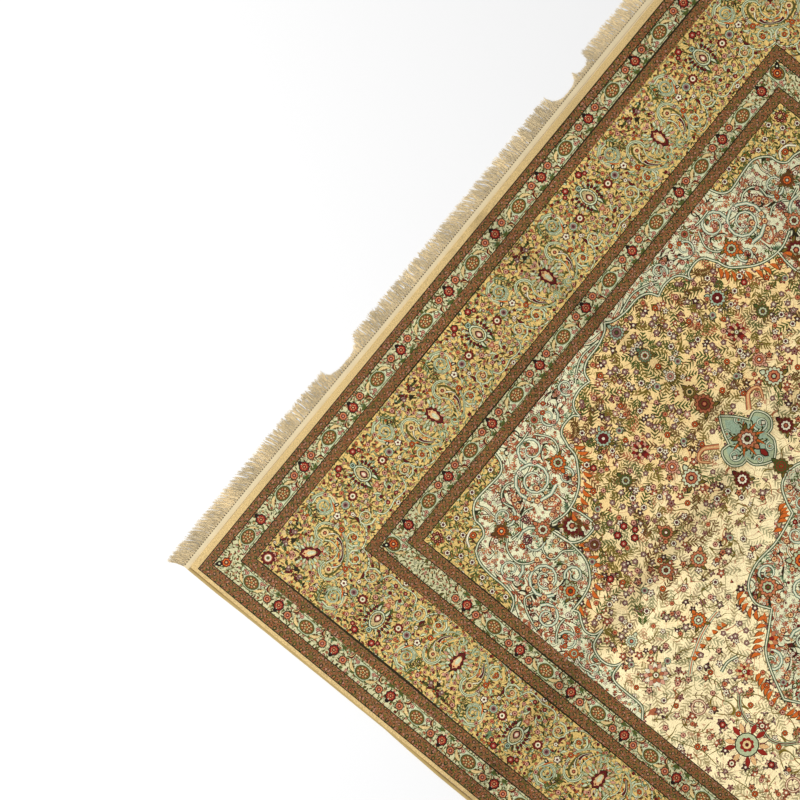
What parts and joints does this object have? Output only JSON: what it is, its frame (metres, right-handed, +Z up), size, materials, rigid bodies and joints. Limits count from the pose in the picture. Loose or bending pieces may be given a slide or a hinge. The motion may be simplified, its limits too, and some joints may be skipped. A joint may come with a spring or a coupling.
{
  "type": "oriental silk rug",
  "caption": "Rectangular hand-knotted silk rug with a patterned pile, bound sides and a knotted fringe at both ends, lying flat on a floor.",
  "frame": {"origin": "centre of the rug's underside, on the floor", "axes": "+X across the rug's width, +Y along its length towards the end with the worn fringe, +Z up"},
  "size_m": [2.5232, 3.115, 0.0086],
  "materials": {
    "silk_pile": "knotted silk pile, softly glossy, gold, cream, sage and red-brown",
    "warp_web": "flat-woven cream silk warps ending in a tan fringe",
    "selvage": "overcast golden silk binding"
  },
  "bodies": {
    "root": {"pile_body": "silk_pile", "fringe_end_a": "warp_web", "fringe_end_b": "warp_web", "selvage_left": "selvage", "selvage_right": "selvage"}
  },
  "joints": []
}
